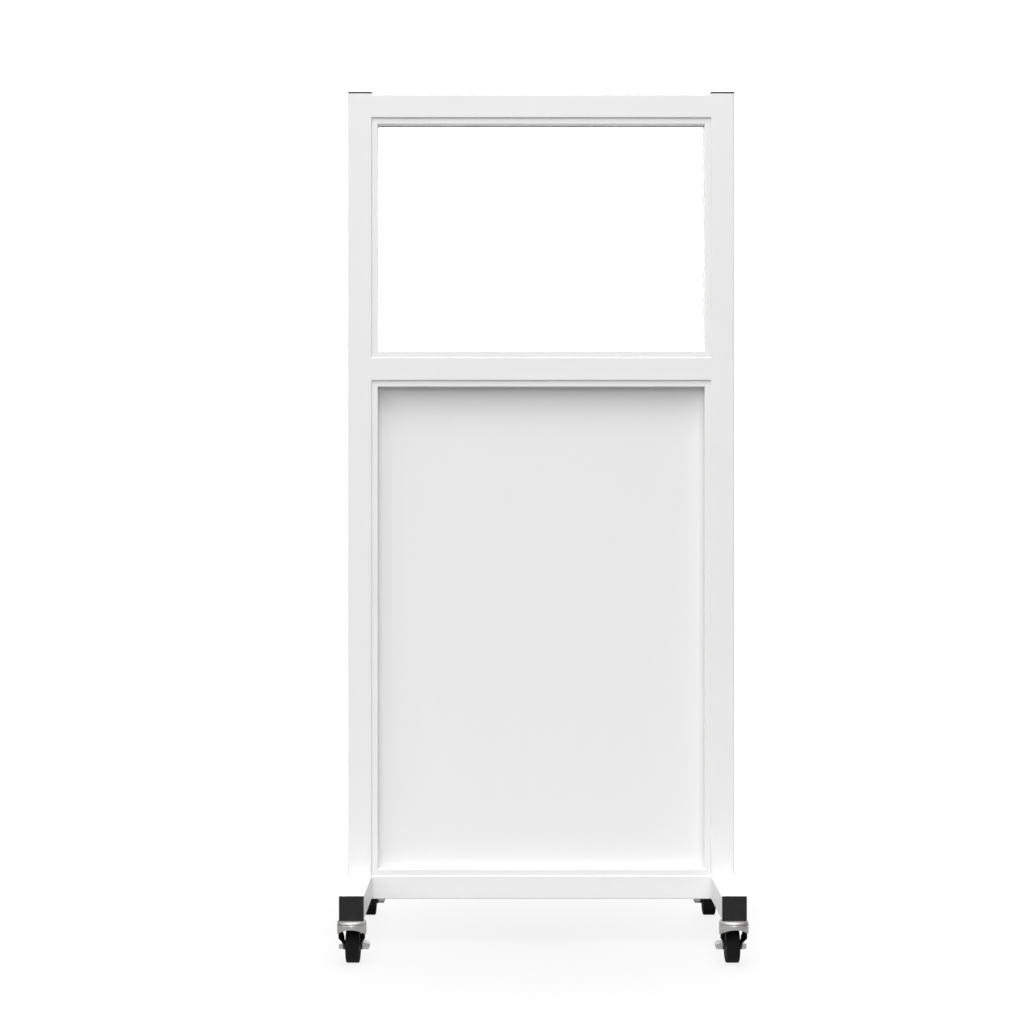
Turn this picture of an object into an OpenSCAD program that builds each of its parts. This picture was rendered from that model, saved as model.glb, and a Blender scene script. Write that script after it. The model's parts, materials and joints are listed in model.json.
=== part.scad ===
// Mobile lead barrier: a welded stand of square tube on two feet and four swivel casters, with a
// lead-glass window above a lead-lined panel. X runs across the barrier and +Y points to its back,
// where the casters trail. The origin is on the floor, under the middle of all that it covers.

/* [Frame] */
// Outside width of the square tube
tube_w = 50.8; // [46:0.2:60]
// Wall of the square tube
tube_wall = 2.4; // [1.6:0.1:3]
// Outside corner radius of the square tube
tube_r = 2.4; // [1.6:0.1:4]
// Inside corner radius of the square tube
tube_bore_r = 0.8; // [0.4:0.1:1.5]
// Clear width between the two posts
clear_w = 736.6; // [500:0.1:1100]
// Clear height of the panel opening
panel_h = 1075; // [600:1:1400]
// Clear height of the window opening
window_h = 520; // [300:1:800]
// Length of a foot tube from front to back
foot_len = 500; // [400:1:760]
// How far the posts stand above the top rail
post_proud = 2; // [0.5:0.5:10]
// Space left for weld metal where one tube meets the round corners of another
weld_gap = 0.1; // [0.05:0.05:0.3]

/* [End caps] */
// Thickness of a cap's flange
cap_t = 3.4; // [2:0.1:5]
// Corner radius of a cap
cap_r = 0.9; // [0.8:0.1:3]
// Edge radius of a cap's face
cap_edge_r = 0.6; // [0.3:0.1:0.8]
// Depth of the plug of a post cap
post_plug = 14; // [8:0.5:20]
// Depth of the plug of a foot cap, which is notched round the caster's nut
foot_plug = 6; // [5:0.5:9]
// Wall of a cap's plug
plug_wall = 2; // [1.5:0.1:3]
// Height of the fins that grip the tube
fin_h = 0.8; // [0.4:0.1:1.2]
// Thickness of a fin
fin_t = 1; // [0.8:0.1:1.4]
// Clearance between the fins and the tube's bore
plug_fit = 0.1; // [0.05:0.05:0.2]

/* [Window and panel] */
// Width of the stops and beads that line each opening
bead_w = 13; // [11:0.1:16]
// Distance from the front of the tubes back to the stops
stop_recess = 3; // [1:0.5:6]
// Depth of the fixed stop at the front
stop_depth = 25.8; // [22:0.1:26]
// Depth of the removable bead at the back
bead_depth = 7.8; // [7.6:0.1:9]
// Edge radius of stops and beads
bead_edge_r = 1; // [0.4:0.1:1.5]
// Thickness of the lead glass
glass_t = 8; // [6:0.5:9]
// Thickness of the glazing tape
tape_t = 1.6; // [0.8:0.1:2]
// Width of the glazing tape
tape_w = 9; // [5:0.5:9.5]
// Space round the edges of the glass
glass_gap = 3; // [2:0.1:3.5]
// Length of a setting block
block_len = 80; // [40:5:120]
// Space at the sides and the top of the panel
panel_gap = 2; // [1:0.1:3]
// Thickness of the panel's front and rear skins
skin_t = 1.2; // [0.8:0.1:2]
// Thickness of the lead sheet
lead_t = 1.6; // [0.5:0.1:3]

/* [Bead screws] */
// Diameter of the screws that hold the beads
screw_d = 4; // [3:0.1:4.2]
// Diameter of the screws' countersunk heads
screw_head_d = 7; // [6:0.1:7.4]
// Length of a screw
screw_len = 18; // [16:0.5:30]
// Clearance round a screw
screw_fit = 0.1; // [0.05:0.05:0.2]
// Screws in each upright bead of the window
window_side_screws = 2; // [2:1:4]
// Screws in each upright bead of the panel
panel_side_screws = 4; // [2:1:6]
// Screws in each level bead
rail_screws = 3; // [2:1:5]

/* [Caster mounting] */
// Distance from the end of the foot to the caster's swivel axis
swivel_inset = 10.5; // [10.5:0.5:40]
// Diameter of the threaded stem, which is also the king pin
stem_d = 10; // [8:0.1:10.5]
// Thickness of the washer inside the foot
washer_t = 2; // [1.6:0.1:3]
// Diameter of the washer inside the foot
washer_d = 20; // [18:0.5:20.5]
// Thickness of the stem's nut
nut_t = 8; // [6:0.5:10]
// Width across the flats of the stem's nut
nut_af = 16; // [15:0.5:17]
// Length of the stem that shows past its nut
stem_end = 3; // [1:0.5:8]
// Clearance between parts that are clamped or threaded together
seat_fit = 0.05; // [0.03:0.01:0.1]

/* [Swivel head] */
// Diameter of the swivel crown
crown_d = 60.4; // [60:0.2:64]
// Height of the crown's band, from its front edge up
crown_band = 8.6; // [8.4:0.1:12]
// How much lower the crown's skirt hangs at the sides than at the front
skirt_drop = 13.2; // [8:0.1:14]
// Wall of the crown's skirt
skirt_wall = 2.5; // [2:0.1:3]
// Height from the crown's front edge to its plate
plate_rise = 2.2; // [1.8:0.1:2.6]
// Thickness of the crown's plate
plate_t = 3; // [2.5:0.1:3.4]
// Diameter of the top race
race_d = 60; // [56:0.5:62]
// Thickness of the top race
race_t = 6.3; // [6.3:0.1:12]
// Shoulder radius of the top race
race_shoulder = 5.2; // [3:0.1:5.3]
// Radius of the top race's lower edge
race_edge = 0.8; // [0.4:0.1:0.9]
// Open gap between the crown and the top race
race_gap = 0.6; // [0.4:0.1:1.2]
// Diameter of the balls in the swivel head
ball_d = 6; // [5.6:0.1:6.2]
// Diameter of the circle that the balls run on
ball_circle_d = 40; // [36:0.5:42]
// Number of balls in each swivel head
ball_count = 14; // [8:1:16]
// Clearance between a ball and its grooves
ball_fit = 0.3; // [0.25:0.01:0.35]
// Diameter of the king pin's lower head
pin_head_d = 21; // [18:0.5:22]
// Thickness of the king pin's lower head
pin_head_t = 3; // [2:0.1:3.5]
// Running clearance of the crown on its king pin, and of the wheel on its sleeve
run_fit = 0.08; // [0.05:0.01:0.1]
// Running gap between faces that turn past each other
face_gap = 0.4; // [0.3:0.05:0.6]

/* [Fork] */
// Distance from the swivel axis back to the axle
trail = 36; // [32:0.5:40]
// Width across the fork's shoulders
shoulder_w = 55.2; // [53:0.2:55.2]
// Thickness of the sheet that the legs are bent from
leg_t = 3; // [2.5:0.1:4]
// How far a leg's top reaches in front of the swivel axis
leg_front = 13; // [9:0.5:16]
// How far a leg's top reaches behind the swivel axis
leg_back = 14; // [10:0.5:18]
// Radius of the boss round the axle
boss_r = 9.5; // [9:0.1:12]
// Thickness of the fork's top plate
fork_plate_t = 2.8; // [2:0.1:3]
// Height above the axle where the shoulders have drawn in to the legs
waist_rise = 9.5; // [6:0.5:10]
// Height above the axle where the shoulders begin to draw in
shoulder_rise = 22; // [20:0.5:26]

/* [Wheel] */
// Diameter of the wheel
wheel_d = 73; // [70:0.1:76]
// Width of the tyre
tyre_w = 27.5; // [24:0.5:30]
// Thickness of the tyre
tyre_t = 10; // [8:0.5:13]
// Shoulder radius of the tyre
tyre_shoulder = 3; // [2:0.1:5]
// Height of the crown's front edge above the top of the tyre
wheel_clear = 7.6; // [5:0.1:9]
// Least space kept round the tyre
wheel_space = 1.5; // [1:0.1:3]
// Width of the wheel's hub
hub_w = 32.6; // [32.2:0.1:32.8]
// Diameter of the wheel's hub
hub_d = 26; // [22:0.5:30]
// Width of the rim under the tyre
rim_w = 24; // [20:0.5:24]
// Thickness of the rim
rim_t = 3.5; // [2.5:0.1:5]
// Thickness of the wheel's web and ribs
web_t = 4; // [3:0.1:6]
// Number of ribs on each side of the wheel
wheel_ribs = 8; // [4:1:12]
// How far the ribs stay below the hub's and the rim's faces
rib_step = 2; // [1:0.1:4]
// Diameter of the axle bolt
axle_d = 10; // [8:0.1:10.5]
// Outside diameter of the sleeve on the axle bolt
sleeve_d = 14.4; // [13.6:0.1:16]
// Width across the flats of the axle bolt's head and nut
axle_af = 16; // [15:0.5:17]
// Height of the axle bolt's head
axle_head_t = 8; // [6:0.1:9]
// Height of the axle bolt's nut
axle_nut_t = 11; // [7:0.1:12]
// Length of the axle bolt that shows past its nut
axle_end = 2.2; // [1:0.1:6]
// Thickness of the axle washers
axle_washer_t = 1.6; // [1:0.1:2.5]
// Diameter of the axle washers
axle_washer_d = 19; // [17:0.5:20]

/* [Hidden] */
$fn = 64;
// How far a cut runs past the face that it opens
cut = 1;
// Number of flats on a nut, a bolt head and a screw's socket
flats = 6;
// Steps in each curved edge of the fork
curve_steps = 8;

// Heights of the caster, from the floor up
axle_z = wheel_d / 2;
crown_z = wheel_d + wheel_clear;
plate_z = crown_z + plate_rise;
crown_top = crown_z + crown_band;
race_z = crown_top + race_gap;
caster_h = race_z + race_t;
ball_z = (plate_z + plate_t + race_z) / 2;
pin_head_z = plate_z - face_gap - pin_head_t;
stem_top = caster_h + tube_wall + washer_t + seat_fit + nut_t + stem_end;

// Heights of the frame, from the floor up
foot_z = caster_h + tube_w / 2;
foot_top = caster_h + tube_w;
mid_rail_z = foot_top + panel_h + tube_w / 2;
window_low = mid_rail_z + tube_w / 2;
top_rail_z = window_low + window_h + tube_w / 2;
post_top = top_rail_z + tube_w / 2 + post_proud;

// Places across the barrier and from front to back
post_x = (clear_w + tube_w) / 2;
swivel_y = foot_len / 2 - swivel_inset;
stop_y = stop_recess - tube_w / 2;
pocket_y = stop_y + stop_depth;
pocket_t = glass_t + 2 * tape_t;
bead_y = pocket_y + pocket_t;
screw_y = bead_y + bead_depth / 2;
front_reach = max(foot_len / 2 + cap_t, swivel_y + crown_d / 2);
rear_reach = max(foot_len / 2 + cap_t, swivel_y + trail + wheel_d / 2);
middle_y = (rear_reach - front_reach) / 2;

// Sizes that follow from the others
bore_w = tube_w - 2 * tube_wall;
core_t = pocket_t - 2 * skin_t - lead_t;
screw_sink = (screw_head_d - screw_d) / 2;
crown_bore_r = crown_d / 2 - skirt_wall;
arch_r = (pow(crown_d / 2, 2) + pow(skirt_drop, 2)) / (2 * skirt_drop);
leg_in = hub_w / 2 + face_gap;
leg_out = leg_in + leg_t;
rim_r = wheel_d / 2 - tyre_t;
fork_r = shoulder_w / 2;

// Each opening: its lowest edge, its height, and the screws in one of its upright beads
window = [window_low, window_h, window_side_screws];
panel = [foot_top, panel_h, panel_side_screws];
// Each caster: its name, its side and its end, where -1 is left or front
casters = [
  ["front_left", -1, -1], ["front_right", 1, -1],
  ["rear_left", -1, 1], ["rear_right", 1, 1]
];
caster_parts = ["stem_", "top_race_", "crown_", "fork_", "axle_", "wheel_core_", "tyre_"];

NODES = concat(
  ["post_left", "post_right", "top_rail", "mid_rail", "bottom_rail", "foot_left", "foot_right",
    "post_cap_left", "post_cap_right", "window_stop", "window_tape_front", "window_glass",
    "window_tape_rear", "setting_blocks", "window_bead_rails", "window_bead_sides", "panel_stop",
    "panel_front_skin", "panel_lead_sheet", "panel_core", "panel_rear_skin", "panel_bead_rails",
    "panel_bead_sides", "bead_screws", "race_balls", "stem_nuts"],
  [for (c = casters) str("foot_cap_", c[0])],
  [for (p = caster_parts, c = casters) str(p, c[0])]
);

paint = [0.93, 0.93, 0.93];
skin_white = [0.9, 0.9, 0.9];
plastic = [0.18, 0.18, 0.18];
zinc = [0.76, 0.75, 0.74];
rubber = [0.09, 0.09, 0.09];
hub_grey = [0.42, 0.42, 0.43];
lead_grey = [0.35, 0.36, 0.38];
board = [0.72, 0.6, 0.42];
glass_tint = [0.88, 0.9, 0.86, 0.35];

// Flat shapes

// A rectangle with round corners, centred. Only its corners swell by grow.
module rounded_rect(x, y, r, grow = 0) {
  square([x - 2 * r, y], center = true);
  square([x, y - 2 * r], center = true);
  for (i = [-1, 1], j = [-1, 1]) translate([i * (x / 2 - r), j * (y / 2 - r)]) circle(r + grow);
}

// A slab that stands on the X axis, with its two upper corners round.
module soft_slab(w, h, r) {
  translate([-w / 2, 0]) square([w, h - r]);
  translate([r - w / 2, 0]) square([w - 2 * r, h]);
  for (i = [-1, 1]) translate([i * (w / 2 - r), h - r]) circle(r);
}

module tube_profile() {
  difference() {
    rounded_rect(tube_w, tube_w, tube_r);
    rounded_rect(bore_w, bore_w, tube_bore_r);
  }
}

// Lengths of a flat shape: its Y becomes up, and its X runs along Y or along X.
module along_x(length) rotate([90, 0, 90]) linear_extrude(length, center = true) children();
module along_y(length) rotate([90, 0, 0]) linear_extrude(length, center = true) children();

// A washer or a sleeve that stands on the XY plane.
module ring(h, r, bore) {
  difference() {
    cylinder(h = h, r = r);
    translate([0, 0, -cut]) cylinder(h = h + 2 * cut, r = bore);
  }
}

// A nut that stands on the XY plane, with two of its flats facing +Y and -Y.
module hex_nut(h, across, bore) {
  difference() {
    hex_bar(h, across);
    translate([0, 0, -cut]) cylinder(h = h + 2 * cut, r = bore);
  }
}

module hex_bar(h, across) cylinder(h = h, r = across / sqrt(3), $fn = flats);

// Points of a smooth bend that leaves a towards b and arrives at c from b.
function bend(a, b, c) = [for (i = [0:curve_steps]) let (t = i / curve_steps)
  (1 - t) * (1 - t) * a + 2 * t * (1 - t) * b + t * t * c];

// Where a line from a point p touches a circle, on the side that turn picks.
function touch(p, centre, r, turn) = let (
  v = p - centre,
  at = atan2(v[1], v[0]) + turn * acos(r / norm(v))
) centre + r * [cos(at), sin(at)];

// Even places over a span, centred on zero.
function spread(count, span) = [for (i = [0:count - 1]) ((i + 0.5) / count - 0.5) * span];

// Frame

// The outside of a post, which reaches down round the foot's corners. grow adds space at the corners.
module post_block(side, grow) {
  translate([side * post_x, 0, foot_top - tube_r])
    linear_extrude(post_top - foot_top + tube_r)
      rounded_rect(tube_w, tube_w, tube_r, grow);
}

module foot_block(side, grow) {
  translate([side * post_x, 0, foot_z])
    along_y(foot_len) rounded_rect(tube_w, tube_w, tube_r, grow);
}

module post(side) {
  color(paint) difference() {
    translate([side * post_x, 0, foot_top - tube_r])
      linear_extrude(post_top - foot_top + tube_r) tube_profile();
    foot_block(side, weld_gap);
    at_side_screws(window) screw_hole();
    at_side_screws(panel) screw_hole();
  }
}

module foot(side) {
  color(paint) difference() {
    translate([side * post_x, 0, foot_z]) along_y(foot_len) tube_profile();
    for (end = [-1, 1]) translate([side * post_x, end * swivel_y, caster_h - cut])
      cylinder(h = tube_wall + 2 * cut, r = stem_d / 2 + 2 * plug_fit);
  }
}

// A rail, with ends that follow the round corners of what it is welded to.
module rail(z) {
  difference() {
    translate([0, 0, z]) along_x(clear_w + 2 * tube_r) tube_profile();
    for (side = [-1, 1]) {
      post_block(side, weld_gap);
      foot_block(side, weld_gap);
    }
  }
}

module top_rail() {
  color(paint) difference() {
    rail(top_rail_z);
    at_rail_screws(window) screw_hole();
  }
}

module mid_rail() {
  color(paint) difference() {
    rail(mid_rail_z);
    at_rail_screws(window) screw_hole();
    at_rail_screws(panel) screw_hole();
  }
}

module bottom_rail() {
  color(paint) difference() {
    rail(foot_z);
    at_rail_screws(panel) screw_hole();
  }
}

// End caps

// A cap whose flange stands on the XY plane, over a plug that hangs into the tube. A notch leaves
// that much of the plug's -Y side open, as wide as the caster's washer needs.
module end_cap(plug, notch) {
  plug_w = bore_w - 2 * (fin_h + plug_fit);
  fin_w = bore_w - 2 * plug_fit;
  hollow = plug_w - 2 * plug_wall;
  intersection() {
    linear_extrude(cap_t) rounded_rect(tube_w, tube_w, cap_r);
    along_x(tube_w) soft_slab(tube_w, cap_t, cap_edge_r);
    along_y(tube_w) soft_slab(tube_w, cap_t, cap_edge_r);
  }
  difference() {
    union() {
      translate([0, 0, -plug]) linear_extrude(plug) rounded_rect(plug_w, plug_w, tube_bore_r);
      for (z = spread(2, plug)) translate([0, 0, z - (plug + fin_t) / 2])
        linear_extrude(fin_t) rounded_rect(fin_w, fin_w, tube_bore_r);
    }
    translate([0, 0, -plug - cut]) linear_extrude(plug + cut) square(hollow, center = true);
    if (notch > 0) translate([-washer_d / 2 - cut, -bore_w / 2 - cut, -plug - cut])
      cube([washer_d + 2 * cut, notch + cut, plug + cut]);
  }
}

module post_cap(side) {
  color(plastic) translate([side * post_x, 0, post_top]) end_cap(post_plug, 0);
}

module foot_cap(c) {
  color(plastic) translate([c[1] * post_x, c[2] * foot_len / 2, foot_z])
    rotate([90, 0, c[2] > 0 ? 180 : 0]) end_cap(foot_plug, stem_top - caster_h - tube_wall + cut);
}

// Screws of the beads

// Children at each screw of an opening, with +Z from the bead's face out into the tube.
module at_side_screws(opening) {
  for (side = [-1, 1], z = spread(opening[2], opening[1]))
    translate([side * (clear_w / 2 - bead_w), screw_y, opening[0] + opening[1] / 2 + z])
      rotate([0, side * 90, 0]) children();
}

module at_rail_screws(opening) {
  for (end = [-1, 1], x = spread(rail_screws, clear_w))
    translate([x, screw_y, opening[0] + opening[1] / 2 + end * (opening[1] / 2 - bead_w)])
      rotate([0, 90 - end * 90, 0]) children();
}

module screw_hole() {
  translate([0, 0, -cut])
    cylinder(h = bead_w + tube_wall + 2 * cut, r = screw_d / 2 + screw_fit);
  cylinder(h = screw_sink, r1 = screw_head_d / 2, r2 = screw_d / 2);
}

module screw() {
  r = screw_d / 2;
  difference() {
    rotate_extrude() polygon([
      [0, 0], [screw_head_d / 2 - screw_fit, 0], [r, screw_sink], [r, screw_len - r], [0, screw_len]
    ]);
    translate([0, 0, -cut]) cylinder(h = cut + screw_sink, r = r / 2, $fn = flats);
  }
}

module bead_screws() {
  color(zinc) for (opening = [window, panel]) {
    at_side_screws(opening) screw();
    at_rail_screws(opening) screw();
  }
}

// Stops and beads

// One mitred length. Its outer face lies on the XY plane, and it runs along X.
module mitred_bar(length, depth) {
  intersection() {
    translate([0, depth / 2, bead_w / 2]) along_x(length) rounded_rect(depth, bead_w, bead_edge_r);
    translate([0, depth, 0]) rotate([90, 0, 0]) linear_extrude(depth) polygon([
      [-length / 2, 0], [length / 2, 0], [length / 2 - bead_w, bead_w], [bead_w - length / 2, bead_w]
    ]);
  }
}

module level_bars(opening, y, depth) {
  for (end = [0, 1]) translate([0, y, opening[0] + end * opening[1]])
    mirror([0, 0, end]) mitred_bar(clear_w, depth);
}

module upright_bars(opening, y, depth) {
  for (side = [-1, 1]) translate([side * clear_w / 2, y, opening[0] + opening[1] / 2])
    rotate([0, side * -90, 0]) mitred_bar(opening[1], depth);
}

module stop_frame(opening) {
  color(paint) {
    level_bars(opening, stop_y, stop_depth);
    upright_bars(opening, stop_y, stop_depth);
  }
}

module bead_rails(opening) {
  color(paint) difference() {
    level_bars(opening, bead_y, bead_depth);
    at_rail_screws(opening) screw_hole();
  }
}

module bead_sides(opening) {
  color(paint) difference() {
    upright_bars(opening, bead_y, bead_depth);
    at_side_screws(opening) screw_hole();
  }
}

// Window

// A slab as wide and high as the glass less an edge, whose front face is at y.
module glass_slab(y, t, edge) {
  inset = glass_gap + edge;
  translate([inset - clear_w / 2, y, window_low + inset])
    cube([clear_w - 2 * inset, t, window_h - 2 * inset]);
}

module window_tape(y) {
  color(rubber) difference() {
    glass_slab(y, tape_t, 0);
    glass_slab(y - cut, tape_t + 2 * cut, tape_w);
  }
}

module window_glass() color(glass_tint) glass_slab(pocket_y + tape_t, glass_t, 0);

module setting_blocks() {
  color(rubber) for (x = spread(2, clear_w))
    translate([x - block_len / 2, pocket_y + tape_t, window_low]) cube([block_len, glass_t, glass_gap]);
}

// Panel

// A layer of the panel, whose front face is depth behind the stop.
module panel_layer(depth, t) {
  translate([panel_gap - clear_w / 2, pocket_y + depth, foot_top])
    cube([clear_w - 2 * panel_gap, t, panel_h - panel_gap]);
}

module panel_front_skin() color(skin_white) panel_layer(0, skin_t);
module panel_lead_sheet() color(lead_grey) panel_layer(skin_t, lead_t);
module panel_core() color(board) panel_layer(skin_t + lead_t, core_t);
module panel_rear_skin() color(skin_white) panel_layer(pocket_t - skin_t, skin_t);

// Casters. Each is drawn with its axle bolt's head towards +X, and turned over for the left side.

module at_caster(c) {
  translate([c[1] * post_x, c[2] * swivel_y, 0]) mirror([c[1] < 0 ? 1 : 0, 0, 0]) children();
}

module stem(c) {
  color(zinc) at_caster(c) {
    translate([0, 0, pin_head_z]) cylinder(h = pin_head_t, r = pin_head_d / 2);
    translate([0, 0, pin_head_z]) cylinder(h = stem_top - cut - pin_head_z, r = stem_d / 2);
    translate([0, 0, stem_top - cut]) cylinder(h = cut, r1 = stem_d / 2, r2 = stem_d / 2 - cut);
  }
}

module stem_nuts() {
  color(zinc) for (c = casters) at_caster(c) translate([0, 0, caster_h + tube_wall]) {
    ring(washer_t, washer_d / 2, stem_d / 2 + plug_fit);
    translate([0, 0, washer_t + seat_fit]) hex_nut(nut_t, nut_af, stem_d / 2 + seat_fit);
  }
}

module ball_groove() {
  translate([0, 0, ball_z]) rotate_extrude()
    translate([ball_circle_d / 2, 0]) circle(ball_d / 2 + ball_fit);
}

module top_race(c) {
  r = race_d / 2;
  lip = race_edge;
  color(zinc) at_caster(c) difference() {
    rotate_extrude() translate([0, race_z]) {
      square([r - race_shoulder, race_t]);
      translate([0, lip]) square([r, race_t - race_shoulder - lip]);
      square([r - lip, race_t - race_shoulder]);
      translate([r - race_shoulder, race_t - race_shoulder]) intersection() {
        circle(race_shoulder);
        translate([-cut, -lip / 2]) square(race_shoulder + cut);
      }
      translate([r - lip, lip]) circle(lip);
    }
    ball_groove();
    translate([0, 0, race_z - cut]) cylinder(h = race_t + 2 * cut, r = stem_d / 2 + seat_fit);
  }
}

module race_balls() {
  color(zinc) for (c = casters) at_caster(c)
    for (i = [0:ball_count - 1]) rotate([0, 0, i * 360 / ball_count])
      translate([ball_circle_d / 2, 0, ball_z + ball_fit - seat_fit]) sphere(ball_d / 2);
}

// The space that the wheel turns in.
module wheel_room() {
  translate([0, trail, axle_z]) rotate([0, 90, 0])
    cylinder(h = hub_w + face_gap, r = wheel_d / 2 + wheel_space, center = true);
}

// The crown's skirt: a ring whose lower edge arches up at the front and the back.
module skirt(bore, r, grow) {
  low = crown_z - skirt_drop - grow;
  difference() {
    translate([0, 0, low]) ring(crown_top - low, r, bore);
    translate([0, 0, crown_z - arch_r]) rotate([90, 0, 0])
      cylinder(h = 2 * r + 2 * cut, r = arch_r - grow, center = true);
  }
}

module crown(c) {
  edge = skirt_wall / 2;
  color(zinc) at_caster(c) difference() {
    union() {
      intersection() {
        skirt(crown_bore_r, crown_d / 2, 0);
        rotate_extrude() translate([0, crown_z - skirt_drop]) {
          square([crown_d / 2, crown_band + skirt_drop - edge]);
          square([crown_d / 2 - edge, crown_band + skirt_drop]);
          translate([crown_d / 2 - edge, crown_band + skirt_drop - edge]) circle(edge);
        }
      }
      translate([0, 0, plate_z]) cylinder(h = plate_t, r = crown_bore_r + edge);
    }
    ball_groove();
    translate([0, 0, plate_z - cut]) cylinder(h = plate_t + 2 * cut, r = stem_d / 2 + run_fit);
    wheel_room();
  }
}

// The outline of the fork seen from the front, drawn inset from its outside.
module fork_front(inset, top) {
  r = fork_r - inset;
  half = concat(
    [[r, top]],
    bend([r, axle_z + shoulder_rise], [r - leg_t / 2, axle_z + 2 * waist_rise],
      [leg_out - inset, axle_z + waist_rise]),
    [[leg_out - inset, axle_z - boss_r - cut - inset]]
  );
  polygon(concat(half, [for (i = [len(half) - 1:-1:0]) [-half[i][0], half[i][1]]]));
}

// The block that the fork is bent round: round at the shoulders, and flat where the legs trail.
module fork_block(inset, top) {
  intersection() {
    along_y(2 * (trail + wheel_d)) fork_front(inset, top);
    union() {
      cylinder(h = top, r = fork_r - inset);
      translate([inset - leg_out, -fork_r, 0]) cube([2 * (leg_out - inset), 2 * (trail + wheel_d), top]);
    }
  }
}

// A leg seen from the side: two bends that run from the crown down and back round the boss.
module fork_side() {
  axle = [trail, axle_z];
  front_knee = [leg_t - leg_front, axle_z + 2 * boss_r];
  rear_knee = [leg_back, axle_z + boss_r + leg_t];
  polygon(concat(
    bend([-leg_front, plate_z], front_knee, touch(front_knee, axle, boss_r, 1)),
    [axle],
    bend(touch(rear_knee, axle, boss_r, -1), rear_knee, [leg_back, plate_z])
  ));
  translate(axle) circle(boss_r);
}

module fork(c) {
  under = plate_z - fork_plate_t;
  color(plastic) at_caster(c) difference() {
    intersection() {
      fork_block(0, plate_z);
      union() {
        along_x(shoulder_w) fork_side();
        translate([0, 0, under]) cylinder(h = fork_plate_t, r = crown_bore_r - seat_fit);
      }
    }
    fork_block(leg_t, under);
    skirt(crown_bore_r - seat_fit, fork_r + crown_d, seat_fit);
    translate([0, 0, under - cut]) cylinder(h = fork_plate_t + 2 * cut, r = pin_head_d / 2 + cut);
    wheel_room();
    translate([0, trail, axle_z]) rotate([0, 90, 0])
      cylinder(h = 2 * leg_out + 2 * cut, r = axle_d / 2 + seat_fit, center = true);
  }
}

// The axle bolt, its two washers, its nut and the sleeve between the legs, drawn along +Z.
module axle_set() {
  r = axle_d / 2;
  head_z = leg_out + axle_washer_t + 2 * seat_fit;
  end_z = head_z + axle_nut_t + axle_end;
  translate([0, 0, head_z]) intersection() {
    hex_bar(axle_head_t, axle_af);
    cylinder(h = axle_head_t, r1 = axle_af / sqrt(3), r2 = axle_af / 2);
  }
  translate([0, 0, cut - end_z]) cylinder(h = head_z + end_z - cut, r = r);
  translate([0, 0, -end_z]) cylinder(h = cut, r1 = r - cut, r2 = r);
  for (z = [leg_out + seat_fit, -leg_out - seat_fit - axle_washer_t])
    translate([0, 0, z]) ring(axle_washer_t, axle_washer_d / 2, r + seat_fit);
  translate([0, 0, -head_z - axle_nut_t]) hex_nut(axle_nut_t, axle_af, r + seat_fit);
  translate([0, 0, -leg_in]) ring(2 * leg_in, sleeve_d / 2, r + seat_fit);
}

module at_axle(c) at_caster(c) translate([0, trail, axle_z]) rotate([0, 90, 0]) children();

module axle(c) color(zinc) at_axle(c) axle_set();

// The wheel's core: a hub, a web and a rim, with ribs on both sides of the web.
module wheel_core(c) {
  hub_r = hub_d / 2;
  rib_w = min(hub_w, rim_w) - 2 * rib_step;
  reach = rim_r - rim_t / 2 - hub_r / 2;
  color(hub_grey) at_axle(c) difference() {
    union() {
      cylinder(h = hub_w, r = hub_r, center = true);
      cylinder(h = web_t, r = rim_r - rim_t / 2, center = true);
      translate([0, 0, -rim_w / 2]) ring(rim_w, rim_r, rim_r - rim_t);
      for (i = [0:wheel_ribs - 1]) rotate([0, 0, i * 360 / wheel_ribs])
        translate([hub_r / 2 + reach / 2, 0, 0]) cube([reach, web_t / 2, rib_w], center = true);
    }
    cylinder(h = hub_w + 2 * cut, r = sleeve_d / 2 + run_fit, center = true);
  }
}

module tyre(c) {
  color(rubber) at_axle(c) rotate_extrude() translate([rim_r + seat_fit, 0]) rotate(-90)
    soft_slab(tyre_w, tyre_t - seat_fit, tyre_shoulder);
}

module part(name) {
  if (name == "post_left") post(-1);
  if (name == "post_right") post(1);
  if (name == "top_rail") top_rail();
  if (name == "mid_rail") mid_rail();
  if (name == "bottom_rail") bottom_rail();
  if (name == "foot_left") foot(-1);
  if (name == "foot_right") foot(1);
  if (name == "post_cap_left") post_cap(-1);
  if (name == "post_cap_right") post_cap(1);
  if (name == "window_stop") stop_frame(window);
  if (name == "window_tape_front") window_tape(pocket_y);
  if (name == "window_glass") window_glass();
  if (name == "window_tape_rear") window_tape(pocket_y + tape_t + glass_t);
  if (name == "setting_blocks") setting_blocks();
  if (name == "window_bead_rails") bead_rails(window);
  if (name == "window_bead_sides") bead_sides(window);
  if (name == "panel_stop") stop_frame(panel);
  if (name == "panel_front_skin") panel_front_skin();
  if (name == "panel_lead_sheet") panel_lead_sheet();
  if (name == "panel_core") panel_core();
  if (name == "panel_rear_skin") panel_rear_skin();
  if (name == "panel_bead_rails") bead_rails(panel);
  if (name == "panel_bead_sides") bead_sides(panel);
  if (name == "bead_screws") bead_screws();
  if (name == "race_balls") race_balls();
  if (name == "stem_nuts") stem_nuts();
  for (c = casters) {
    if (name == str("foot_cap_", c[0])) foot_cap(c);
    if (name == str("stem_", c[0])) stem(c);
    if (name == str("top_race_", c[0])) top_race(c);
    if (name == str("crown_", c[0])) crown(c);
    if (name == str("fork_", c[0])) fork(c);
    if (name == str("axle_", c[0])) axle(c);
    if (name == str("wheel_core_", c[0])) wheel_core(c);
    if (name == str("tyre_", c[0])) tyre(c);
  }
}

for (name = NODES) translate([0, -middle_y, 0]) part(name);
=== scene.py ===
import json
import math

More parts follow.
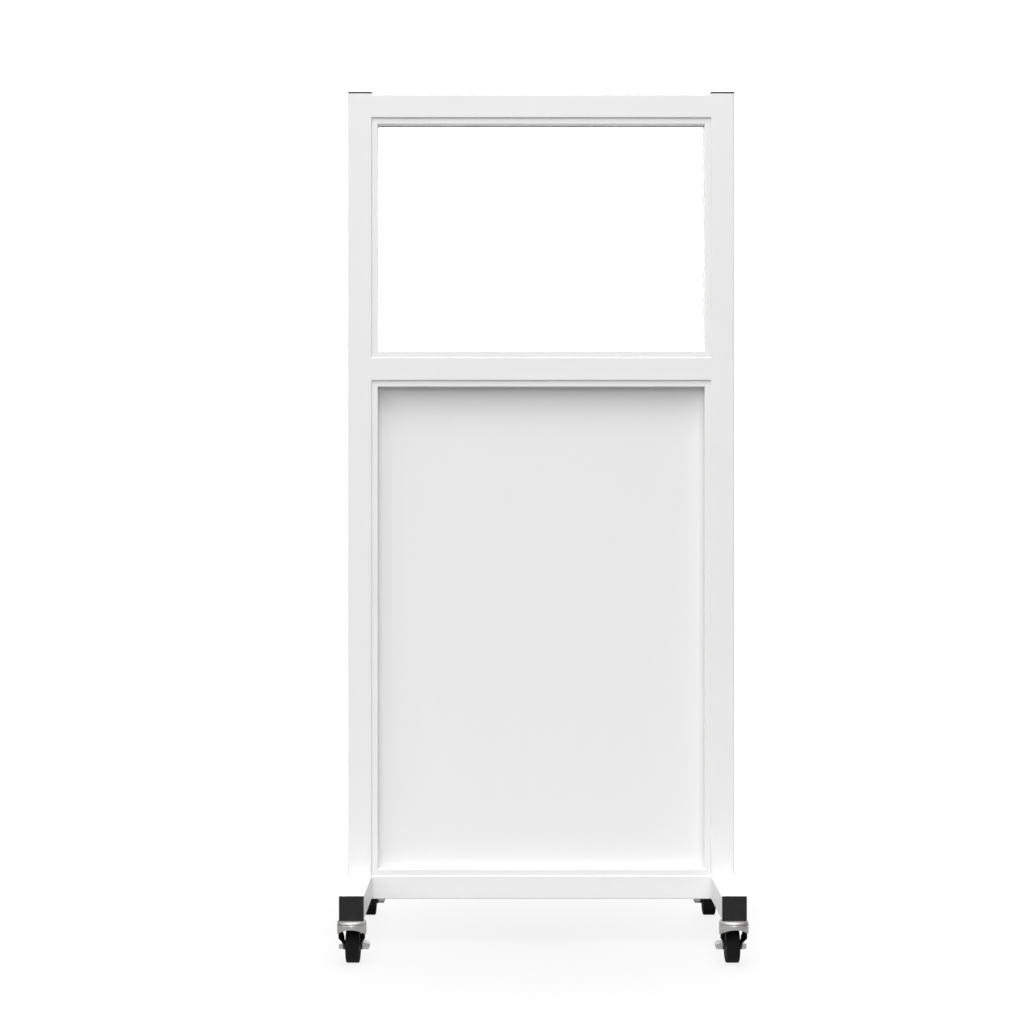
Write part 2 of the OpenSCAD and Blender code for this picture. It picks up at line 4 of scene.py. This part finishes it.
import bpy
import numpy as np
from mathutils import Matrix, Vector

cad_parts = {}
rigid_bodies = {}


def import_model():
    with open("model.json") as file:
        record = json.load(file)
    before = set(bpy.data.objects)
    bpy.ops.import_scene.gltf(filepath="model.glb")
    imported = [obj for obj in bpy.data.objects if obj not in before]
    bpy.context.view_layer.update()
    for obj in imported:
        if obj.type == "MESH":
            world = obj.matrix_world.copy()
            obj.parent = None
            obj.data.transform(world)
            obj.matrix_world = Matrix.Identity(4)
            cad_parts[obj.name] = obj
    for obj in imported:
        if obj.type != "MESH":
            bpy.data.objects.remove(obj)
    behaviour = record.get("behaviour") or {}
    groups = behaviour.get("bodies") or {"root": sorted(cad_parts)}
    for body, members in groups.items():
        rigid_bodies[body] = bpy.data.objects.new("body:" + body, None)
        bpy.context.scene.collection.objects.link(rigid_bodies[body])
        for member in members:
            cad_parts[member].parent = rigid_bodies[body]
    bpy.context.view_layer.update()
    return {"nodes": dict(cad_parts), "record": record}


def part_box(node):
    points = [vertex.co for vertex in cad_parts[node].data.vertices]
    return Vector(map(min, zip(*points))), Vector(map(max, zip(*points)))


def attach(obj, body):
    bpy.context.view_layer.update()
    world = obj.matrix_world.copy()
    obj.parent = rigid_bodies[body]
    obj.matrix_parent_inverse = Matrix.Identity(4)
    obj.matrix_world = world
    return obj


for old in list(bpy.data.objects):
    bpy.data.objects.remove(old)
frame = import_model()
scene = bpy.context.scene
nodes = frame["nodes"]
rng = np.random.default_rng(7)
# the four casters, and the side and the end of the barrier that each stands at
casters = {"front_left": (-1, -1), "front_right": (1, -1), "rear_left": (-1, 1), "rear_right": (1, 1)}
print("stage: frame loaded,", len(nodes), "nodes")


def centreOf(node):
    low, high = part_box(node)
    return [(a + b) / 2 for a, b in zip(low, high)]


# places and sizes that several pieces share, in metres, read off the frame's own nodes
footLow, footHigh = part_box("foot_left")
place = {
    "tube": footHigh[0] - footLow[0], "tubeRadius": 0.0024, "postX": -centreOf("foot_left")[0],
    "middleY": centreOf("post_left")[1], "footTop": footHigh[2], "footLow": footLow[2],
    "topRailTop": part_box("top_rail")[1][2],
}


class Value:
    # a shader socket that adds, subtracts and multiplies like a number
    def __init__(self, shade, socket):
        self.shade, self.socket = shade, socket

    def join(self, kind, other, flip=False):
        pair = (other, self) if flip else (self, other)
        return self.shade.node("ShaderNodeMath", {0: pair[0], 1: pair[1]}, operation=kind)

    def __add__(self, other): return self.join("ADD", other)
    def __radd__(self, other): return self.join("ADD", other, True)
    def __sub__(self, other): return self.join("SUBTRACT", other)
    def __rsub__(self, other): return self.join("SUBTRACT", other, True)
    def __mul__(self, other): return self.join("MULTIPLY", other)
    def __rmul__(self, other): return self.join("MULTIPLY", other, True)


class Shade:
    # one material: its surface shader, and the nodes that feed it
    def __init__(self, name):
        self.material = bpy.data.materials.new(name)
        self.material.use_nodes = True
        self.tree = self.material.node_tree
        self.surface = self.tree.nodes["Principled BSDF"]
        self.coords = self.node("ShaderNodeTexCoord", out="Object")

    def node(self, kind, inputs=None, out=0, **settings):
        made = self.tree.nodes.new(kind)
        for name, value in settings.items():
            setattr(made, name, value)
        for name, value in (inputs or {}).items():
            self.feed(made.inputs[name], value)
        return Value(self, made.outputs[out])

    def feed(self, socket, value):
        if isinstance(value, Value):
            self.tree.links.new(value.socket, socket)
        elif isinstance(value, (tuple, list)) and len(value) == 3 and len(socket.default_value) == 4:
            socket.default_value = (*value, 1)
        else:
            socket.default_value = value

    def noise(self, size, detail=2.0, stretch=(1, 1, 1), rough=0.5):
        # soft noise whose blobs are about size metres across
        where = self.node("ShaderNodeMapping", {"Vector": self.coords, "Scale": stretch})
        return self.node("ShaderNodeTexNoise", {"Vector": where, "Scale": 1 / size, "Detail": detail,
                                                "Roughness": rough})

    def cells(self, size):
        return self.node("ShaderNodeTexVoronoi", {"Vector": self.coords, "Scale": 1 / size})

    def ramp(self, value, low, high):
        # nought at low, one at high, and straight between
        return self.node("ShaderNodeMapRange", {"Value": value, "From Min": low, "From Max": high})

    def mix(self, share, first, second):
        made = self.tree.nodes.new("ShaderNodeMix")
        made.data_type = "RGBA"
        shareIn, firstIn, secondIn = (made.inputs[k] for k in (0, 6, 7))  # the ones that a colour mix uses
        for socket, value in ((shareIn, share), (firstIn, first), (secondIn, second)):
            self.feed(socket, value)
        return Value(self, made.outputs[2])

    def height(self, pairs):
        # a bump for each height and its depth in metres, laid over the one before
        normal = None
        for value, depth in pairs:
            inputs = {"Height": value, "Distance": depth, "Strength": 1.0}
            if normal is not None:
                inputs["Normal"] = normal
            normal = self.node("ShaderNodeBump", inputs)
        self.feed(self.surface.inputs["Normal"], normal)

    def put(self, **values):
        for name, value in values.items():
            self.feed(self.surface.inputs[name.replace("_", " ")], value)
        return self


# In the dictionaries of finishes, a size is in metres across a blob, a depth is in metres, and a span gives
# the two noise levels between which a change comes in.

# powder coat: a fine orange peel, a slow drift in tone and gloss, and dust that gathers near the floor
powder = {
    "tone": (0.815, 0.815, 0.815), "shaded": (0.8, 0.8, 0.797), "driftSize": 0.16, "driftSpan": (0.3, 0.7),
    "driftGloss": 0.12, "dusty": (0.77, 0.765, 0.75), "dustSize": 0.02, "dustSpan": (0.5, 0.75),
    "dustHeights": (0.1, 0.17), "dustShare": 0.25, "dustGloss": 0.2, "speckSize": 0.0007,
    "speckGloss": 0.05, "peelDepth": 0.00003, "grainSize": 0.0005, "grainDepth": 0.000006, "shine": 0.3,
    "coat": 0.04, "coatGloss": 0.3,
}
framePowder = {"gloss": 0.4, "peel": 0.0022}
beadPowder = {"gloss": 0.43, "peel": 0.0016}


def powderCoat(name, own):
    s = Shade(name)
    drift = s.noise(powder["driftSize"], detail=3)
    speck = s.noise(powder["speckSize"], detail=1)
    height = s.node("ShaderNodeSeparateXYZ", {0: s.coords}, out=2)
    low = 1 - s.ramp(height, *powder["dustHeights"])
    tone = s.mix(s.ramp(drift, *powder["driftSpan"]), powder["tone"], powder["shaded"])
    dust = s.ramp(s.noise(powder["dustSize"], detail=5), *powder["dustSpan"]) * low * powder["dustShare"]
    s.put(Base_Color=s.mix(dust, tone, powder["dusty"]))
    s.put(Roughness=own["gloss"] + powder["driftGloss"] * drift + powder["speckGloss"] * speck
          + powder["dustGloss"] * dust)
    s.put(Specular_IOR_Level=powder["shine"])
    s.put(Coat_Weight=powder["coat"], Coat_Roughness=powder["coatGloss"])
    s.height([(s.noise(own["peel"]), powder["peelDepth"]),
              (s.noise(powder["grainSize"], detail=1), powder["grainDepth"])])
    return s.material


# the panel's sheet: smoother, with faint waves and the odd wiping mark
sheet = {
    "tone": (0.812, 0.812, 0.812), "wiped": (0.805, 0.806, 0.807), "wipeSize": 0.05,
    "wipeStretch": (1, 1, 0.18), "toneSpan": (0.45, 0.7), "glossSpan": (0.4, 0.7), "gloss": 0.46,
    "wipeGloss": 0.07, "waveSize": 0.3, "waveDepth": 0.0002, "grainSize": 0.0012, "grainDepth": 0.00001,
    "shine": 0.28,
}


def coatedSheet(name):
    s = Shade(name)
    wave = s.noise(sheet["waveSize"], detail=1)
    wipe = s.noise(sheet["wipeSize"], detail=4, stretch=sheet["wipeStretch"])
    s.put(Base_Color=s.mix(s.ramp(wipe, *sheet["toneSpan"]), sheet["tone"], sheet["wiped"]))
    s.put(Roughness=sheet["gloss"] + sheet["wipeGloss"] * s.ramp(wipe, *sheet["glossSpan"]))
    s.put(Specular_IOR_Level=sheet["shine"])
    s.height([(wave, sheet["waveDepth"]), (s.noise(sheet["grainSize"]), sheet["grainDepth"])])
    return s.material


# moulded plastic: a spark-eroded grain over soft sink marks
plastic = {"cloudSize": 0.012, "cloudSpan": (0.42, 0.78), "glossSize": 0.006, "glossDrift": 0.2,
           "sinkSize": 0.02, "sinkDepth": 0.0001, "grainDepth": 0.00003}
capPlastic = {"tone": (0.017, 0.017, 0.017), "worn": (0.0225, 0.0225, 0.0225), "gloss": 0.45,
              "grain": 0.0008, "shine": 0.16}
hubPlastic = {"tone": (0.1, 0.1, 0.104), "worn": (0.14, 0.14, 0.14), "gloss": 0.4, "grain": 0.0007,
              "shine": 0.3}


def mouldedPlastic(name, own):
    s = Shade(name)
    cloud = s.noise(plastic["cloudSize"], detail=4)
    s.put(Base_Color=s.mix(s.ramp(cloud, *plastic["cloudSpan"]), own["tone"], own["worn"]))
    s.put(Roughness=own["gloss"] + plastic["glossDrift"] * s.noise(plastic["glossSize"], detail=3))
    s.put(Specular_IOR_Level=own["shine"])
    s.height([(s.noise(plastic["sinkSize"], detail=1), plastic["sinkDepth"]),
              (s.noise(own["grain"], detail=3), plastic["grainDepth"])])
    return s.material


# zinc plate: bright metal with a small spangle, faint draw lines and a straw tint here and there. The top
# races are a little duller in gloss than the other parts.
plate = {
    "spangleSize": 0.0016, "spangleGloss": 0.05, "spangleDepth": 0.000003, "cloudSize": 0.009,
    "cloudSpan": (0.35, 0.7), "cloudGloss": 0.12, "lineSize": 0.004, "lineStretch": (1, 1, 14),
    "lineDepth": 0.00001, "tintSize": 0.02, "tintSpan": (0.52, 0.8), "tintShare": 0.5,
}
turnedZinc = {"bright": (0.66, 0.641, 0.634), "dull": (0.56, 0.543, 0.537), "straw": (0.64, 0.607, 0.568),
              "gloss": 0.3}
pressedZinc = {"bright": (0.62, 0.59, 0.584), "dull": (0.54, 0.515, 0.51), "straw": (0.6, 0.566, 0.54),
               "gloss": 0.5}


def zincPlate(name, own):
    s = Shade(name)
    spangle = s.cells(plate["spangleSize"])
    cloud = s.noise(plate["cloudSize"], detail=4)
    lines = s.noise(plate["lineSize"], detail=3, stretch=plate["lineStretch"])
    tone = s.mix(s.ramp(cloud, *plate["cloudSpan"]), own["bright"], own["dull"])
    tint = s.ramp(s.noise(plate["tintSize"]), *plate["tintSpan"]) * plate["tintShare"]
    s.put(Base_Color=s.mix(tint, tone, own["straw"]))
    s.put(Metallic=1.0)
    s.put(Roughness=own["gloss"] + plate["cloudGloss"] * cloud + plate["spangleGloss"] * spangle)
    s.height([(lines, plate["lineDepth"]), (spangle, plate["spangleDepth"])])
    return s.material


# electrocoated steel: near black, satin, with small runs and specks of dust
forkCoat = {
    "deep": (0.003, 0.003, 0.0032), "pale": (0.006, 0.006, 0.0062), "cloudSize": 0.01, "gloss": 0.34,
    "cloudGloss": 0.2, "speckTone": (0.05, 0.048, 0.045), "speckSize": 0.0009, "speckSpan": (0.66, 0.76),
    "speckShare": 0.35, "speckGloss": 0.2, "runSize": 0.006, "runDepth": 0.00012, "grainSize": 0.0012,
    "grainDepth": 0.00002, "shine": 0.14,
}


def blackCoat(name):
    s = Shade(name)
    cloud = s.noise(forkCoat["cloudSize"], detail=4)
    speck = s.ramp(s.noise(forkCoat["speckSize"]), *forkCoat["speckSpan"])
    tone = s.mix(cloud, forkCoat["deep"], forkCoat["pale"])
    s.put(Base_Color=s.mix(speck * forkCoat["speckShare"], tone, forkCoat["speckTone"]))
    s.put(Roughness=forkCoat["gloss"] + forkCoat["cloudGloss"] * cloud + forkCoat["speckGloss"] * speck)
    s.put(Specular_IOR_Level=forkCoat["shine"])
    s.height([(s.noise(forkCoat["runSize"]), forkCoat["runDepth"]),
              (s.noise(forkCoat["grainSize"]), forkCoat["grainDepth"])])
    return s.material


# rubber: matt black with pale scuffs, and dust pressed into it
rubberSkin = {
    "scuffSize": 0.007, "scuffRough": 0.65, "scuffSpan": (0.5, 0.72), "scuffGloss": 0.25, "gloss": 0.62,
    "shine": 0.1, "lumpSize": 0.004, "lumpDepth": 0.00009, "grainSize": 0.0006, "grainDepth": 0.00002,
}
tyreRubber = {"tone": (0.009, 0.009, 0.009), "dusty": (0.036, 0.035, 0.033), "share": 0.2}
tapeRubber = {"tone": (0.03, 0.03, 0.03), "dusty": (0.08, 0.08, 0.08), "share": 0.4}


def rubber(name, own):
    s = Shade(name)
    scuff = s.ramp(s.noise(rubberSkin["scuffSize"], detail=6, rough=rubberSkin["scuffRough"]),
                   *rubberSkin["scuffSpan"])
    s.put(Base_Color=s.mix(scuff * own["share"], own["tone"], own["dusty"]))
    s.put(Roughness=rubberSkin["gloss"] + rubberSkin["scuffGloss"] * scuff)
    s.put(Specular_IOR_Level=rubberSkin["shine"])
    s.height([(s.noise(rubberSkin["lumpSize"], detail=3), rubberSkin["lumpDepth"]),
              (s.noise(rubberSkin["grainSize"]), rubberSkin["grainDepth"])])
    return s.material


# lead glass: clear with a breath of straw, and a few dried wiping marks that only change its tint and gloss
glass = {
    "clear": (1.0, 1.0, 0.99), "smeared": (0.985, 0.99, 0.97), "smearSize": 0.06,
    "smearStretch": (1, 1, 0.3), "smearSpan": (0.55, 0.8), "smearGloss": 0.012, "bending": 1.6,
    "waveSize": 0.3, "waveDepth": 0.0001,
}


def leadGlass(name):
    s = Shade(name)
    marks = s.noise(glass["smearSize"], detail=5, stretch=glass["smearStretch"])
    smear = s.ramp(marks, *glass["smearSpan"])
    s.put(Base_Color=s.mix(smear, glass["clear"], glass["smeared"]))
    s.put(Roughness=glass["smearGloss"] * smear, Transmission_Weight=1.0, IOR=glass["bending"])
    s.height([(s.noise(glass["waveSize"], detail=1), glass["waveDepth"])])
    return s.material


# lead and board, which hardly show: dull grey metal with creases, and fine pressed fibres
lead = {"dark": (0.16, 0.17, 0.19), "light": (0.3, 0.31, 0.33), "cloudSize": 0.03, "metal": 0.8,
        "gloss": 0.5, "cloudGloss": 0.3, "creaseSize": 0.01, "creaseDepth": 0.0003}
board = {"dark": (0.4, 0.28, 0.16), "light": (0.6, 0.46, 0.3), "fibreSize": 0.004,
         "fibreStretch": (1, 6, 1), "gloss": 0.75, "fibreGloss": 0.1, "fibreDepth": 0.0002}


def creasedLead(name):
    s = Shade(name)
    cloud = s.noise(lead["cloudSize"], detail=5)
    s.put(Base_Color=s.mix(cloud, lead["dark"], lead["light"]), Metallic=lead["metal"])
    s.put(Roughness=lead["gloss"] + lead["cloudGloss"] * cloud)
    s.height([(s.noise(lead["creaseSize"], detail=4), lead["creaseDepth"])])
    return s.material


def pressedBoard(name):
    s = Shade(name)
    fibre = s.noise(board["fibreSize"], detail=6, stretch=board["fibreStretch"])
    s.put(Base_Color=s.mix(fibre, board["dark"], board["light"]))
    s.put(Roughness=board["gloss"] + board["fibreGloss"] * fibre)
    s.height([(fibre, board["fibreDepth"])])
    return s.material


paints = {
    "frame_white": powderCoat("powderFrame", framePowder),
    "bead_white": powderCoat("powderBead", beadPowder),
    "panel_white": coatedSheet("panelSheet"),
    "cap_black": mouldedPlastic("capPlastic", capPlastic),
    "clear_lead_glass": leadGlass("leadGlass"),
    "glazing_tape": rubber("glazingTape", tapeRubber),
    "lead": creasedLead("lead"),
    "core_board": pressedBoard("coreBoard"),
    "zinc_plate": zincPlate("zincPlate", turnedZinc),
    "fork_black": blackCoat("forkCoat"),
    "hub_grey": mouldedPlastic("hubPlastic", hubPlastic),
    "tyre_black": rubber("tyreRubber", tyreRubber),
}
for row in frame["record"]["subparts"]:
    mesh = nodes[row["node"]].data
    mesh.materials.clear()
    mesh.materials.append(paints[row["material_slot"]])
raceZinc = zincPlate("pressedZincPlate", pressedZinc)
for caster in casters:
    nodes["top_race_" + caster].data.materials[0] = raceZinc
print("stage: materials on the frame")


def surface(name, points, faces, slot, body):
    # a closed, smooth mesh that rides on a body
    mesh = bpy.data.meshes.new(name)
    mesh.from_pydata(points.tolist(), [], faces)
    mesh.validate()
    mesh.update()
    piece = bpy.data.objects.new(name, mesh)
    scene.collection.objects.link(piece)
    mesh.polygons.foreach_set("use_smooth", [True] * len(mesh.polygons))
    mesh.materials.append(paints[slot])
    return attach(piece, body)


def loopFaces(rings, around, closed=False):
    # Quads between rings of points that each go once around: points j and j + 1 of ring i join the same two
    # of ring i + 1.
    i, j = np.meshgrid(np.arange(rings if closed else rings - 1), np.arange(around), indexing="ij")
    here, there, onward = i * around, (i + 1) % rings * around, (j + 1) % around
    return np.stack([here + j, there + j, there + onward, here + onward], -1).reshape(-1, 4).tolist()


# fillet welds: a low bead with the ripples of the torch, under the paint. Legs, sink and pitch are in
# metres, and ripple, drift, crown and the shares are parts of the bead's size.
weld = {
    "leg": 0.0032, "topLeg": 0.0017, "steps": 90, "around": 9, "sink": 0.0004, "sinkPower": 8,
    "pitch": 0.0019, "ripple": 0.09, "drift": 0.05, "driftRate": 9, "phaseSpan": 6.28,
    "endShare": 0.35, "endRate": 14, "roundShare": 0.28, "crown": 0.06,
}


def fillet(name, start, along, first, second, length, leg):
    # A bead carried from start in the direction along, between the faces that first and second lie on. Its
    # section is a quarter turn from first to second, whose reach lies between a chord's and a circle's. Its
    # size grows as a root from each end, ripples as a rectified sine of the way along, and drifts as a slow
    # sine. The root and the two feet sink into the faces.
    start, along, first, second = (np.array(v, float) for v in (start, along, first, second))
    if np.dot(np.cross(first, second), along) < 0:
        first, second = second, first
    ripplePhase, driftPhase = rng.uniform(0, weld["phaseSpan"], 3)[:2]
    t = np.linspace(0, 1, weld["steps"])[:, None]
    turn = np.linspace(0, math.pi / 2, weld["around"] - 1)
    ends = np.minimum(1, weld["endRate"] * np.minimum(t, 1 - t)) ** 0.5
    wave = np.abs(np.sin(math.pi * t * length / weld["pitch"] + ripplePhase))
    ripple = 1 + weld["ripple"] * (wave - 0.5) + weld["drift"] * np.sin(weld["driftRate"] * t + driftPhase)
    size = leg * (weld["endShare"] + (1 - weld["endShare"]) * ends) * ripple
    chord = 1 / (np.cos(turn) + np.sin(turn))
    section = (1 - weld["roundShare"]) * chord + weld["roundShare"]
    reach = size * section * (1 + weld["crown"] * np.sin(2 * turn) * wave)
    alongFirst = reach * np.cos(turn) - weld["sink"] * np.sin(turn) ** weld["sinkPower"]
    alongSecond = reach * np.sin(turn) - weld["sink"] * np.cos(turn) ** weld["sinkPower"]
    root = np.full_like(t, -weld["sink"])
    alongFirst, alongSecond = np.hstack([root, alongFirst]), np.hstack([root, alongSecond])
    points = start + (t * length)[..., None] * along
    points = points + alongFirst[..., None] * first + alongSecond[..., None] * second
    steps, around = alongFirst.shape
    faces = loopFaces(steps, around)
    last = (steps - 1) * around
    faces += [list(range(around)), list(range(last + around - 1, last - 1, -1))]  # the two ends
    return surface(name, points.reshape(-1, 3), faces, "frame_white", "stand")


half, flat = place["tube"] / 2, place["tube"] - 2 * place["tubeRadius"]
for side in (-1, 1):
    where = "left" if side < 0 else "right"
    innerX = side * (place["postX"] - half)
    for end in (-1, 1):
        faceY = place["middleY"] + end * half
        tag = where + ("Front" if end < 0 else "Rear")
        fillet("weldFoot" + tag, (side * place["postX"] - flat / 2, faceY, place["footTop"]), (1, 0, 0),
               (0, end, 0), (0, 0, 1), flat, weld["leg"])
        fillet("weldRail" + tag, (innerX, faceY, place["footLow"] + place["tubeRadius"]), (0, 0, 1),
               (-side, 0, 0), (0, end, 0), flat, weld["leg"])
    fillet("weldTop" + where, (innerX, place["middleY"] - flat / 2, place["topRailTop"]), (0, 1, 0),
           (-side, 0, 0), (0, 0, 1), flat, weld["topLeg"])
print("stage: welds")


def turned(name, profile, centre, slot, body, around=64):
    # A closed ring about an axis along X: a loop of (radius, height) points carried round it, each at
    # height along the axis and at radius times the cosine and sine of the turn across it.
    turn = np.linspace(0, 2 * math.pi, around, endpoint=False)[:, None]
    radius, height = np.array(profile).T
    points = np.stack([height + 0 * turn, radius * np.cos(turn), radius * np.sin(turn)], -1) + centre
    return surface(name, points.reshape(-1, 3), loopFaces(around, len(profile), True), slot, body)


# raised rings on the tyre's walls, as a mould leaves them. Width is half a ring's foot, and crest the
# share of it that stays flat on top.
wallRing = {"inset": (0.0045, 0.0072), "width": 0.0007, "crest": 0.4, "rise": 0.0003, "sink": 0.0003}
# screw thread on the end of the axle bolt that stands out of its nut
thread = {"inner": 0.0046, "root": 0.00502, "crest": 0.00535, "pitch": 0.0011, "back": 0.0019, "turns": 1,
          "around": 40}

for caster, (side, end) in casters.items():
    hub = centreOf("tyre_" + caster)
    tyreLow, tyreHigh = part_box("tyre_" + caster)
    face, outer = (tyreHigh[0] - tyreLow[0]) / 2, (tyreHigh[2] - tyreLow[2]) / 2
    camel = "".join(word.capitalize() for word in caster.split("_"))
    for wall in (-1, 1):
        for k, inset in enumerate(wallRing["inset"]):
            wide, radius = wallRing["width"], outer - inset
            narrow, foot, top = wallRing["crest"] * wide, face - wallRing["sink"], face + wallRing["rise"]
            loop = [(radius - wide, foot), (radius - narrow, top),
                    (radius + narrow, top), (radius + wide, foot)]
            loop = [(r, wall * h) for r, h in (loop if wall > 0 else loop[::-1])]
            sideName = "Outer" if wall * side > 0 else "Inner"
            turned(f"wallRing{camel}{k}{sideName}", loop[::-1], hub, "tyre_black", "wheel_" + caster)
    boltLow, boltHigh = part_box("axle_" + caster)
    inward = -side
    tip = abs((boltHigh if inward > 0 else boltLow)[0] - hub[0])
    first, pitch = tip - thread["back"], thread["pitch"]
    last = first + thread["turns"] * pitch
    loop = []
    for k in range(thread["turns"]):
        loop += [(thread["root"], first + k * pitch), (thread["crest"], first + (k + 0.5) * pitch)]
    loop += [(thread["root"], last), (thread["inner"], last), (thread["inner"], first)]
    loop = [(r, inward * h) for r, h in (loop if inward < 0 else loop[::-1])]
    turned("boltThread" + camel, loop, hub, "zinc_plate", "swivel_" + caster, thread["around"])
print("stage: caster details")


# floor and backdrop: plain, pale, and lit so that only soft shadows show. The lamps reach the floor near
# the barrier, and its own glow takes over further away. That glow is dimmer close to the barrier: partly it
# balances the lamps' own light there, partly it paints a soft shadow pool around the barrier.
ground = {"half": 60, "tone": 0.08, "nearPaintedShadowGlow": 0.79, "farGlow": 1.06, "reach": 2.0, "backdrop": 1.15,
          "domeShare": 0.9, "domeRounds": 48, "domeRings": 24, "grainSize": 0.004, "grainDepth": 0.00002,
          "gloss": 0.9}


def plainStage(name, tone):
    s = Shade(name)
    s.put(Base_Color=(tone, tone, tone), Roughness=ground["gloss"], Specular_IOR_Level=0.0)
    s.height([(s.noise(ground["grainSize"]), ground["grainDepth"])])
    return s


g = ground["half"]
floorMesh = bpy.data.meshes.new("floor")
floorMesh.from_pydata([(-g, -g, 0), (g, -g, 0), (g, g, 0), (-g, g, 0)], [], [(0, 1, 2, 3)])
floor = bpy.data.objects.new("floor", floorMesh)
shade = plainStage("floorWhitePaintedShadow", ground["tone"])
away = shade.node("ShaderNodeVectorMath", {0: shade.coords}, out="Value", operation="LENGTH")
near, far = (ground[k] / ground["farGlow"] for k in ("nearPaintedShadowGlow", "farGlow"))
# painted shadow: the floor's glow is lowest at the barrier and rises over reach metres, so a soft darker
# pool is painted around it
floorGlowWithPaintedShadow = shade.mix(shade.ramp(away, 0, ground["reach"]), (near, near, near), (far, far, far))
shade.put(Emission_Color=floorGlowWithPaintedShadow, Emission_Strength=ground["farGlow"])
floorMesh.materials.append(shade.material)
scene.collection.objects.link(floor)
bpy.ops.mesh.primitive_uv_sphere_add(segments=ground["domeRounds"], ring_count=ground["domeRings"],
                                     radius=g * ground["domeShare"])
backdrop = bpy.context.object
backdrop.name = "backdrop"
shade = plainStage("backdropWhite", 0.0)
shade.put(Emission_Color=(1, 1, 1), Emission_Strength=ground["backdrop"])
backdrop.data.materials.append(shade.material)
# only the lamps and the faint world light the barrier
floor.visible_diffuse = backdrop.visible_diffuse = False
floor.visible_glossy = backdrop.visible_glossy = False
backdrop.visible_shadow = False

studio = {"world": 0.15}
world = bpy.data.worlds.new("studio")
scene.world = world
world.use_nodes = True
world.node_tree.nodes["Background"].inputs["Color"].default_value = (1, 1, 1, 1)
world.node_tree.nodes["Background"].inputs["Strength"].default_value = studio["world"]

# soft boxes that stand in an arc: name, way round from the right, angle up and brightness
arc = {"far": 14.0, "middleZ": 0.9, "width": 9.3, "height": 4.65}
arcBoxes = [
    ("lowFrontBox", -90, 17, 2.5), ("eyeFrontBox", -90, 30, 1.25), ("midFrontBox", -90, 50, 3.4),
    ("highFrontBox", -90, 68, 7.0), ("lowLeftBox", -150, 17, 2.3), ("eyeLeftBox", -150, 30, 1.9),
    ("eyeRightBox", -30, 30, 0.5),
]
# the others: name, centre, aim, width, height and brightness. The last one stands for light off the floor.
boxes = [
    ("topBox", (0.0, -0.7, 15.0), (0.0, -0.7, 0.0), 11.6, 7.0, 5.8),
    ("rearBox", (0.6, 5.6, 3.2), (0.0, 0.0, 0.9), 7.0, 4.5, 3.6),
    ("floorBox", (0.0, -1.0, 0.004), (0.0, -1.0, 1.0), 2.4, 2.0, 0.45),
]
for name, turn, up, bright in arcBoxes:
    turn, up = math.radians(turn), math.radians(up)
    out, rise = arc["far"] * math.cos(up), arc["far"] * math.sin(up)
    boxes.append((name, (out * math.cos(turn), out * math.sin(turn), arc["middleZ"] + rise),
                  (0.0, 0.0, arc["middleZ"]), arc["width"], arc["height"], bright))
for name, centre, aim, width, height, bright in boxes:
    lamp = bpy.data.lights.new(name, "AREA")
    lamp.shape, lamp.size, lamp.size_y = "RECTANGLE", width, height
    lamp.energy = bright * math.pi * width * height  # the watts that make its face this bright
    holder = bpy.data.objects.new(name, lamp)
    scene.collection.objects.link(holder)
    holder.location = centre
    direction = np.array(aim, float) - np.array(centre, float)
    direction /= np.linalg.norm(direction)
    tilt = math.acos(-direction[2])
    holder.rotation_euler = (tilt, 0, math.atan2(direction[1], direction[0]) - math.pi / 2)
    holder.visible_camera = False
print("stage: floor, backdrop and lights")

# the camera stands square to the barrier, a little left of its middle and at half its height
eye = {"x": -0.0635, "back": 4.2368, "z": 0.9365, "lens": 68.18, "sensor": 36, "nearest": 0.05,
       "furthest": 200}
lens = bpy.data.cameras.new("camera")
lens.lens, lens.sensor_width = eye["lens"], eye["sensor"]
lens.clip_start, lens.clip_end = eye["nearest"], eye["furthest"]
camera = bpy.data.objects.new("camera", lens)
camera.location = (eye["x"], place["middleY"] - eye["back"], eye["z"])
camera.rotation_euler = (math.pi / 2, 0, 0)
scene.collection.objects.link(camera)
scene.camera = camera
scene.view_settings.view_transform = "Standard"
print("stage: camera")
